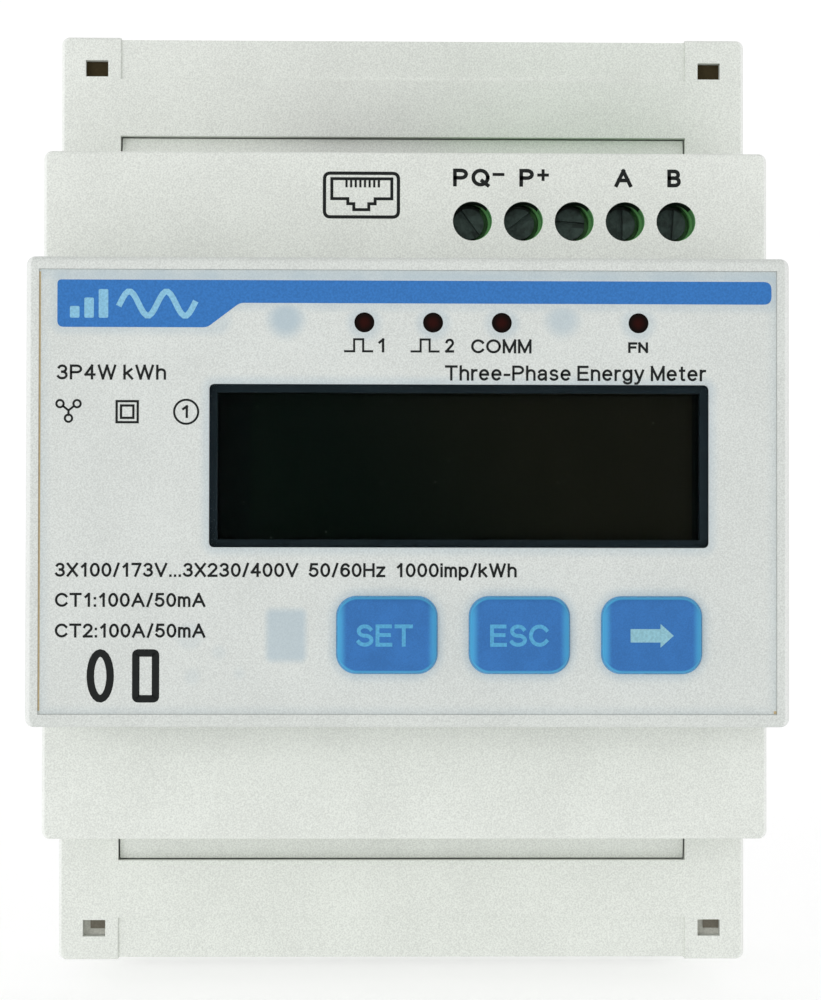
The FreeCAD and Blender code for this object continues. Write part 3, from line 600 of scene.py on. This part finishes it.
# Plain block letters: the width of each and the lines of its pen, in units of the height of a capital.
STEM, SHORT_STEM = [(0, 0), (0, 1)], [(0, 0), (0, 0.72)]
LETTERS = {
    " ": (0.02, []),
    "0": (0.50, [bow(0.25, 0.5, 0.25, 0.5, 0, 360)]),
    "1": (0.40, [[(0.08, 0.76), (0.29, 1), (0.29, 0)]]),
    "2": (0.50, [bow(0.25, 0.73, 0.24, 0.27, 165, -35) + [(0, 0), (0.5, 0)]]),
    "3": (0.50, [bow(0.25, 0.755, 0.22, 0.245, 155, -90) + bow(0.24, 0.26, 0.26, 0.26, 88, -155)]),
    "4": (0.52, [[(0.38, 0), (0.38, 1), (0, 0.3), (0.52, 0.3)]]),
    "5": (0.50, [[(0.46, 1), (0.1, 1), (0.04, 0.5)] + bow(0.24, 0.32, 0.26, 0.32, 130, -150)]),
    "6": (0.50, [bow(0.26, 0.31, 0.24, 0.31, 0, 360), bow(0.28, 0.5, 0.27, 0.5, 45, 180) + [(0.01, 0.33)]]),
    "7": (0.50, [[(0, 1), (0.5, 1), (0.19, 0)]]),
    "A": (0.72, [[(0, 0), (0.36, 1), (0.72, 0)], [(0.13, 0.34), (0.59, 0.34)]]),
    "B": (0.61, [[(0, 0), (0, 1), (0.34, 1)] + bow(0.34, 0.76, 0.22, 0.24, 75, -90) + [(0, 0.52)],
                 [(0.34, 0.52)] + bow(0.36, 0.26, 0.25, 0.26, 75, -90) + [(0, 0)]]),
    "C": (0.70, [bow(0.38, 0.5, 0.38, 0.5, 38, 322)]),
    "E": (0.57, [[(0.57, 0), (0, 0), (0, 1), (0.55, 1)], [(0, 0.53), (0.51, 0.53)]]),
    "F": (0.55, [[(0, 0), (0, 1), (0.55, 1)], [(0, 0.52), (0.47, 0.52)]]),
    "H": (0.60, [STEM, [(0.6, 0), (0.6, 1)], [(0, 0.52), (0.6, 0.52)]]),
    "M": (0.72, [[(0, 0), (0, 1), (0.36, 0.05), (0.72, 1), (0.72, 0)]]),
    "N": (0.60, [[(0, 0), (0, 1), (0.6, 0), (0.6, 1)]]),
    "O": (0.80, [bow(0.4, 0.5, 0.4, 0.5, 0, 360)]),
    "P": (0.59, [[(0, 0), (0, 1), (0.33, 1)] + bow(0.33, 0.74, 0.26, 0.26, 75, -90) + [(0, 0.48)]]),
    "Q": (0.80, [bow(0.4, 0.5, 0.4, 0.5, 0, 360), [(0.5, 0.26), (0.8, -0.04)]]),
    "S": (0.60, [bow(0.31, 0.745, 0.27, 0.255, 25, 270) + bow(0.31, 0.25, 0.3, 0.25, 75, -155)]),
    "T": (0.64, [[(0, 1), (0.64, 1)], [(0.32, 1), (0.32, 0)]]),
    "V": (0.68, [[(0, 1), (0.34, 0), (0.68, 1)]]),
    "W": (0.96, [[(0, 1), (0.24, 0), (0.48, 1), (0.72, 0), (0.96, 1)]]),
    "X": (0.60, [[(0, 0), (0.6, 1)], [(0, 1), (0.6, 0)]]),
    "a": (0.46, [bow(0.23, 0.52, 0.21, 0.2, 160, 0) + [(0.44, 0)],
                 [(0.44, 0.42), (0.2, 0.4)] + bow(0.17, 0.2, 0.17, 0.2, 110, 300) + [(0.44, 0.16)]]),
    "e": (0.50, [[(0.01, 0.38), (0.49, 0.38)] + bow(0.25, 0.36, 0.25, 0.36, 20, 310)]),
    "g": (0.48, [bow(0.24, 0.36, 0.24, 0.36, 0, 360),
                 [(0.48, 0.72), (0.48, -0.05)] + bow(0.25, -0.06, 0.23, 0.22, -15, -155)]),
    "h": (0.45, [STEM, [(0, 0.45)] + bow(0.23, 0.48, 0.22, 0.24, 160, 0) + [(0.45, 0)]]),
    "i": (0.00, [SHORT_STEM, [(0, 0.99), (0, 1)]]),
    "k": (0.44, [STEM, [(0, 0.3), (0.4, 0.72)], [(0.14, 0.44), (0.44, 0)]]),
    "m": (0.68, [SHORT_STEM, [(0, 0.46)] + bow(0.17, 0.5, 0.17, 0.22, 160, 0) + [(0.34, 0)],
                 [(0.34, 0.46)] + bow(0.51, 0.5, 0.17, 0.22, 160, 0) + [(0.68, 0)]]),
    "n": (0.44, [SHORT_STEM, [(0, 0.45)] + bow(0.22, 0.48, 0.22, 0.24, 160, 0) + [(0.44, 0)]]),
    "p": (0.50, [[(0, 0.72), (0, -0.28)], bow(0.25, 0.36, 0.25, 0.36, 0, 360)]),
    "r": (0.22, [SHORT_STEM, [(0, 0.45)] + bow(0.22, 0.46, 0.21, 0.25, 160, 80)]),
    "s": (0.43, [bow(0.22, 0.54, 0.19, 0.18, 30, 270) + bow(0.22, 0.18, 0.21, 0.18, 75, -150)]),
    "t": (0.26, [[(0.11, 0.95), (0.11, 0.12)] + bow(0.21, 0.12, 0.1, 0.12, 205, 290),
                 [(0, 0.72), (0.25, 0.72)]]),
    "y": (0.47, [[(0, 0.72), (0.24, 0)], [(0.47, 0.72), (0.19, -0.17), (0.1, -0.28), (0, -0.28)]]),
    "z": (0.44, [[(0.01, 0.72), (0.43, 0.72), (0, 0), (0.44, 0)]]),
    "/": (0.28, [[(0, -0.02), (0.28, 1.02)]]),
    ".": (0.04, [[(0.02, 0), (0.02, 0.01)]]),
    ":": (0.04, [[(0.02, 0), (0.02, 0.01)], [(0.02, 0.63), (0.02, 0.64)]]),
    "-": (0.27, [[(0, 0.36), (0.27, 0.36)]]),
}
LETTER_SPACE = 0.27


def lettered(name, text, x0, x1, base, capital, level, material, body, pen=0.225):
    """Block letters fitted between x0 and x1, with capitals this high above the base line."""
    lines, start = [], 0.0
    for letter in text:
        width, strokes = LETTERS[letter]
        lines += [[(start + x, z) for x, z in points] for points in strokes]
        start += width + LETTER_SPACE
    left = min(x for points in lines for x, z in points)
    across = (x1 - x0 - pen) / (max(x for points in lines for x, z in points) - left)
    lines = [[(x0 + pen / 2 + (x - left) * across, base + pen / 2 + z * (capital - pen)) for x, z in points]
             for points in lines]
    return printed(name, level, material, body, lines=lines, width=pen)


# ---- the front: band, emblem, text and symbols ----

band_outline = rounded_outline(
    [(BAND_LEFT, EMBLEM_LINE), (-19.0, EMBLEM_LINE), (-15.93, BAND_LINE), (BAND_RIGHT, BAND_LINE),
     (BAND_RIGHT, BAND_TOP), (BAND_LEFT, BAND_TOP)],
    [0.6, 1.2, 1.2, 0.75, 0.75, 0.4])
bm = bmesh.new()
add_plate(bm, band_outline, FILM - SKIN, FILM + PRINT)
bm.faces.ensure_lookup_table()
front_face = min(bm.faces, key=lambda f: f.calc_center_median().y)
inner = bmesh.ops.inset_region(bm, faces=[front_face], thickness=0.14 * MM)
for face in inner["faces"]:
    face.material_index = 1
band = new_piece("title_band", bm, band_blue, "case")
band.data.materials.append(band_edge)

bars = [box_outline(-31.9 + 1.35 * i, -31.0 + 1.35 * i, 16.35, 16.35 + height, 0.15)
        for i, height in enumerate((1.1, 1.9, 2.7))]
wave = [(-27.2 + 0.25 * i, 17.7 + 1.15 * math.sin(i * math.pi / 7)) for i in range(29)]
printed("title_emblem", FILM + PRINT, emblem_ink, "case", plates=bars, lines=[wave], width=0.55)

lettered("type_text", "3P4W kWh", -33.1, -22.85, 10.53, 1.41, FILM, ink, "case")
lettered("title_text", "Three-Phase Energy Meter", 3.41, 28.1, 10.53, 1.44, FILM, ink, "case")
TEXT_LEFT, TEXT_HEIGHT = -33.2, 1.32
lettered("rating_text", "3X100/173V...3X230/400V  50/60Hz  1000imp/kWh", TEXT_LEFT, 10.2, -8.02, TEXT_HEIGHT,
         FILM, ink, "case")
for number, base in ((1, -10.85), (2, -13.73)):
    lettered(f"transformer_{number}_text", f"CT{number}:100A/50mA", TEXT_LEFT, -19.09, base, TEXT_HEIGHT,
             FILM, ink, "case")
lettered("pulse_1_text", "1", -2.88, -2.32, 13.17, TEXT_HEIGHT, FILM, ink, "case")
lettered("pulse_2_text", "2", 3.43, 4.27, 13.17, TEXT_HEIGHT, FILM, ink, "case")
lettered("comm_text", "COMM", 5.88, 11.58, 13.11, 1.33, FILM, ink, "case")
lettered("function_text", "FN", 20.72, 22.6, 13.19, 1.01, FILM, ink, "case")

LINE = 0.2          # width of the lines of the symbols
for number, x in (("1", -6.11), ("2", 0.16)):
    low, high = 13.27, 14.40
    pulse = [(x + 0.1, low), (x + 0.95, low), (x + 0.95, high), (x + 1.8, high), (x + 1.8, low),
             (x + 2.64, low)]
    printed(f"pulse_{number}_symbol", FILM, ink, "case", lines=[pulse], width=LINE)

hub = (-32.0, 7.62)
legs = [(-32.80, 8.25), (-31.20, 8.25), (-32.0, 6.88)]
spokes = [[hub, tuple(Vector(hub).lerp(Vector(leg), 0.58))] for leg in legs]
printed("three_phase_symbol", FILM, ink, "case", lines=spokes,
        rings=[arc(*leg, 0.34, 0, 351, 24) for leg in legs], width=LINE)
printed("double_insulation_symbol", FILM, ink, "case",
        rings=[box_outline(-27.48, -25.5, 6.52, 8.50), box_outline(-27.07, -25.91, 6.93, 8.09)], width=0.22)
printed("one_way_symbol", FILM, ink, "case", rings=[arc(-20.95, 7.515, 1.13, 0, 351)], width=LINE)
lettered("one_way_text", "1", -21.34, -20.78, 6.93, 1.2, FILM, ink, "case")
printed("oval_mark", FILM, ink, "case", rings=[bow(-28.93, -17.32, 0.93, 2.15, 0, 350)], width=0.7)
printed("box_mark", FILM, ink, "case", rings=[box_outline(-25.6, -23.75, -19.47, -15.17, 0.25)], width=0.7)

# ---- the step above: terminal letters and the network socket symbol ----

terminal_letters = (("pulse_plus_a", "P", 4.66, 6.15), ("reactive", "Q", 6.49, 8.3),
                    ("pulse_plus_b", "P", 11.27, 12.72), ("line_a", "A", 20.78, 22.53),
                    ("line_b", "B", 26.05, 27.4))
TERMINAL_BASE, TERMINAL_HEIGHT, TERMINAL_PEN, SIGN_PEN = 30.75, 1.78, 0.37, 0.3
for name, text, x0, x1 in terminal_letters:
    lettered(f"{name}_text", text, x0, x1, TERMINAL_BASE, TERMINAL_HEIGHT, STEP, ink, "case",
             pen=TERMINAL_PEN)
minus = [[(8.75, 31.96), (9.63, 31.96)]]
plus = [[(13.21, 31.92), (14.07, 31.92)], [(13.64, 31.49), (13.64, 32.35)]]
printed("minus_text", STEP, ink, "case", lines=minus, width=SIGN_PEN)
printed("plus_text", STEP, ink, "case", lines=plus, width=SIGN_PEN)

socket = [(-7.41, 31.47), (-1.44, 31.47), (-1.44, 29.48), (-3.10, 29.48), (-3.10, 28.98), (-3.73, 28.98),
          (-3.73, 28.39), (-5.22, 28.39), (-5.22, 28.98), (-5.82, 28.98), (-5.82, 29.48), (-7.41, 29.48)]
ticks = [[(-5.95 + 0.46 * i, 31.25), (-5.95 + 0.46 * i, 30.72)] for i in range(8)]
printed("socket_frame", STEP, ink, "case", rings=[box_outline(-8.14, -0.78, 27.66, 32.02, 0.6)], width=0.33)
printed("socket_symbol", STEP, ink, "case", rings=[socket], width=0.3)
printed("socket_pins", STEP, ink, "case", lines=ticks, width=0.22)

# ---- key legends and the soft skirt that closes the gap round each key ----

LEGEND_BASE, LEGEND_HEIGHT, LEGEND_PEN = -14.52, 2.08, 0.36
for key, x0, x1 in (("set", -4.86, 0.41), ("esc", 7.66, 13.13)):
    lettered(f"{key}_legend", key.upper(), x0, x1, LEGEND_BASE, LEGEND_HEIGHT, KEY_TOP, key_ink, f"{key}_key",
             pen=LEGEND_PEN)
arrow = [(20.88, -14.11), (23.7, -14.11), (23.7, -14.6), (24.95, -13.48), (23.7, -12.36), (23.7, -12.85),
         (20.88, -12.85)]
printed("next_legend", KEY_TOP, legend_ink, "next_key", plates=[arrow])

for name, x in zip(("set", "esc", "next"), KEYS):
    bm = bmesh.new()
    key_sides = (x - KEY_HALF, x + KEY_HALF, KEY_BOTTOM, KEY_TIP)
    half = KEY_HALF + SKIRT_REACH
    outer = box_outline(x - half, x + half, KEY_BOTTOM - 0.11, KEY_TIP + 0.11, 1.75)
    add_collar(bm, box_outline(*grown(key_sides, -0.01), 2.3), outer, FILM - 0.6, FILM - 0.03)
    new_piece(f"{name}_skirt", bm, skirt_rubber, "case")

# ---- walls of the holes over the signal screws: the green block to the right, in a lighter green for its lit side, and painted shade elsewhere ----

SLEEVE_INNER, SLEEVE_OUTER = 1.915, 1.945
SLEEVE_FOOT = 41.71
for name, material, start, end in (("signal_sleeves", sleeve_lit_green, -80, 40),
                                   ("signal_shades", sleeve_painted_shade, 40, 280)):
    bm = bmesh.new()
    for x, z in SIGNAL_SCREWS:
        outline = arc(x + SIGHT, z, SLEEVE_OUTER, start, end) + arc(x + SIGHT, z, SLEEVE_INNER, end, start)
        add_plate(bm, outline, SLEEVE_FOOT, STEP - 0.02)
    new_piece(name, bm, material, "case")

# ---- the seat of the film, with a painted shadow of the gap along its left edge and at its lower right corner ----

RECESS_HALF, RECESS_BOTTOM, RECESS_TOP = 34.79, -20.94, 20.94
FILM_THICK = 0.39
bm = bmesh.new()
recess = box_outline(-RECESS_HALF, RECESS_HALF, RECESS_BOTTOM, RECESS_TOP)
add_collar(bm, box_outline(*FILM_SIDES), recess, FILM - FILM_THICK, FILM - 0.03)
new_piece("film_seat", bm, front_housing, "case")
bm = bmesh.new()
# painted shadow: a brown strip in the gap left of the film, and a small patch at its lower right corner
add_plate(bm, box_outline(-RECESS_HALF, FILM_SIDES[0] - 0.005, -20.6, 20.7), FILM - 0.06, FILM - 0.01)
add_plate(bm, box_outline(34.5, 34.75, -20.88, -20.6), FILM - SKIN, FILM + PRINT)
new_piece("film_gap_shadow", bm, gap_shadow_ink, "case")

bm = bmesh.new()
outer = box_outline(*grown(PANE_SIDES, 0.078), 0.02)
add_collar(bm, box_outline(*grown(PANE_SIDES, 0.01), PANE_CORNER), outer, FILM - FILM_THICK, FILM - 0.01)
new_piece("window_lip", bm, MATERIALS["face_overlay"], "case")

# ---- painted light and shade inside the seal holes of the covers: dark sheets for their shade, a pale sheet for their lit walls ----

LEFT_HOLE, RIGHT_HOLE = (-33.46, -31.14), (31.14, 33.46)
HOLE_NEAR, HOLE_FAR = 44.36, 46.04      # sides of the seal holes above and below the middle of the case
SEAL_THICK = 0.5
lower_front = front_of("lower_terminal_cover")
# upper holes: a dark sheet of painted shade; lower holes: a pale sheet of painted light for their lit walls,
# under a grey sheet of painted shade at their upper right
for cover, name, material, level, from_left, low, high in (
        ("upper", "seal_hole_shades", seal_dark_shade, 26.6, 0.0, HOLE_NEAR, HOLE_FAR),
        ("lower", "seal_hole_lit_walls", seal_pale_light, lower_front - 1.3, 0.0, -HOLE_FAR, -HOLE_NEAR),
        ("lower", "seal_hole_shades", seal_grey_shade, lower_front - 1.1, 0.7, -45.35, -HOLE_NEAR)):
    bm = bmesh.new()
    for left, right in (LEFT_HOLE, RIGHT_HOLE):
        add_plate(bm, box_outline(left + from_left, right, low, high), level - SEAL_THICK, level)
    new_piece(f"{cover}_{name}", bm, material, f"{cover}_cover")

# ---- contacts of the network socket ----

FIRST_CONTACT, CONTACT_PITCH = -8.0, 1.02
CONTACT_PATH = ((33.0, 37.9), (30.6, 37.6), (24.4, 35.1), (22.0, 34.9))     # z and level of each bend
CONTACT_SECTION = ((-0.17, -0.12), (0.17, -0.12), (0.17, 0.12), (-0.17, 0.12))
bm = bmesh.new()
for i in range(8):
    x = FIRST_CONTACT + CONTACT_PITCH * i
    for run in zip(CONTACT_PATH, CONTACT_PATH[1:]):
        corners = []
        for z, level in run:
            corners += [bm.verts.new(at(x + dx, level + dl, z)) for dx, dl in CONTACT_SECTION]
        for face in ((0, 1, 2, 3), (4, 5, 6, 7), (0, 1, 5, 4), (1, 2, 6, 5), (2, 3, 7, 6), (3, 0, 4, 7)):
            bm.faces.new([corners[v] for v in face])
new_piece("socket_contacts", bm, gold, "case")

# ---- latch spring: a coil of wire drawn in place of the model's spring and fixed to the case; on the real meter it shortens as the latch is pulled down ----

spring_low, spring_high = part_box("latch_spring")
turns, ring_steps, wire_steps, wire, coil = 10.3, 24, 10, 0.25, 1.2
bm = bmesh.new()
rings = []
count = int(turns * ring_steps)
bottom, top = spring_low.z / MM + wire, spring_high.z / MM - wire
level = -(spring_low.y + spring_high.y) / 2 / MM
for step in range(count + 1):
    t = step / count
    angle = 2 * math.pi * turns * t
    rise = min(max((t * turns - 1) / (turns - 2), 0), 1) * 0.9 + t * 0.1
    outward = Vector((math.cos(angle), math.sin(angle)))
    ring = []
    for j in range(wire_steps):
        a = 2 * math.pi * j / wire_steps
        r = coil + wire * math.cos(a)
        z = bottom + (top - bottom) * rise + wire * math.sin(a)
        ring.append(bm.verts.new(at(r * outward.x, level + r * outward.y, z)))
    rings.append(ring)
for a, b in zip(rings, rings[1:]):
    for j in range(wire_steps):
        k = (j + 1) % wire_steps
        bm.faces.new((a[j], a[k], b[k], b[j]))
bm.faces.new(rings[0])
bm.faces.new(rings[-1])
for face in bm.faces:
    face.smooth = True
spring = new_piece("spring_coil", bm, spring_steel, "case")
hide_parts("latch_spring")
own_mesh(spring)

# ---- studio ----

FLOOR = cad_low.z - 0.0001
STAGE_HALF, BEND_START, BEND, WALL_TOP = 3.2, 0.45, 0.5, 1.6
profile = [(-STAGE_HALF, 0.0), (BEND_START, 0.0)]
for degrees in range(6, 91, 6):
    a = math.radians(degrees)
    profile.append((BEND_START + BEND * math.sin(a), BEND - BEND * math.cos(a)))
profile.append((BEND_START + BEND, WALL_TOP))
bm = bmesh.new()
columns = [[bm.verts.new((x, y, FLOOR + z)) for y, z in profile] for x in (-STAGE_HALF, STAGE_HALF)]
for i in range(len(profile) - 1):
    bm.faces.new((columns[0][i], columns[1][i], columns[1][i + 1], columns[0][i + 1])).smooth = True
mesh = bpy.data.meshes.new("backdrop")
bm.to_mesh(mesh)
bm.free()
backdrop = bpy.data.objects.new("backdrop", mesh)
scene.collection.objects.link(backdrop)
paper = Surface("paper", Roughness=0.9, Specular_IOR_Level=0.1, Emission_Strength=0.56)
fibre = paper.noise(0.6, 4.0)
paper.paint(paper.mix(fibre.ramp(0.3, 0.7), (0.50, 0.50, 0.50), (0.53, 0.53, 0.53)))
paper.shader.inputs["Emission Color"].default_value = (1, 1, 1, 1)
mesh.materials.append(paper.material)

world = bpy.data.worlds.new("studio")
scene.world = world
world.use_nodes = True
backing = world.node_tree.nodes["Background"]
backing.inputs["Color"].default_value = (1.0, 1.0, 1.0, 1.0)
way = world.node_tree.nodes.new("ShaderNodeTexCoord")
split = world.node_tree.nodes.new("ShaderNodeSeparateXYZ")
world.node_tree.links.new(way.outputs["Generated"], split.inputs[0])
sideways = Field(world.node_tree, split.outputs["X"]).size().ramp(0.2, 0.9, 0.99, 1.14)
height = Field(world.node_tree, split.outputs["Z"]).ramp(0.1, 0.8, 0.0, -0.36)
world.node_tree.links.new((sideways + height).socket, backing.inputs["Strength"])
scene.view_settings.view_transform = "Standard"

# A square soft box to the left of the camera, aimed at the middle of the object.
MIDDLE, LIGHT_PLACE = Vector((0, -0.03, 0)), Vector((-0.55, -0.85, 0.05))
data = bpy.data.lights.new("key_light", "AREA")
data.size = 0.30
data.energy = 1.8
lamp = bpy.data.objects.new("key_light", data)
scene.collection.objects.link(lamp)
lamp.location = LIGHT_PLACE
lamp.rotation_mode = "QUATERNION"
lamp.rotation_quaternion = (MIDDLE - LIGHT_PLACE).to_track_quat("-Z", "Y")

# ---- camera ----

forward = Vector((0.02069523, 0.99964602, 0.01671948))
upward = Vector((-0.00210847, -0.01667938, 0.99985867))
right = forward.cross(upward).normalized()
upward = right.cross(forward).normalized()
camera_data = bpy.data.cameras.new("camera")
camera_data.sensor_width = 36.0
camera_data.lens = 99.328
camera_data.clip_start = 0.01
camera_data.clip_end = 20.0
camera = bpy.data.objects.new("camera", camera_data)
scene.collection.objects.link(camera)
turn = Matrix((right, upward, -forward)).transposed()
CAMERA_PLACE = Vector((-5.20, -318.16, -5.09)) * MM
camera.matrix_world = Matrix.Translation(CAMERA_PLACE) @ turn.to_4x4()
scene.camera = camera
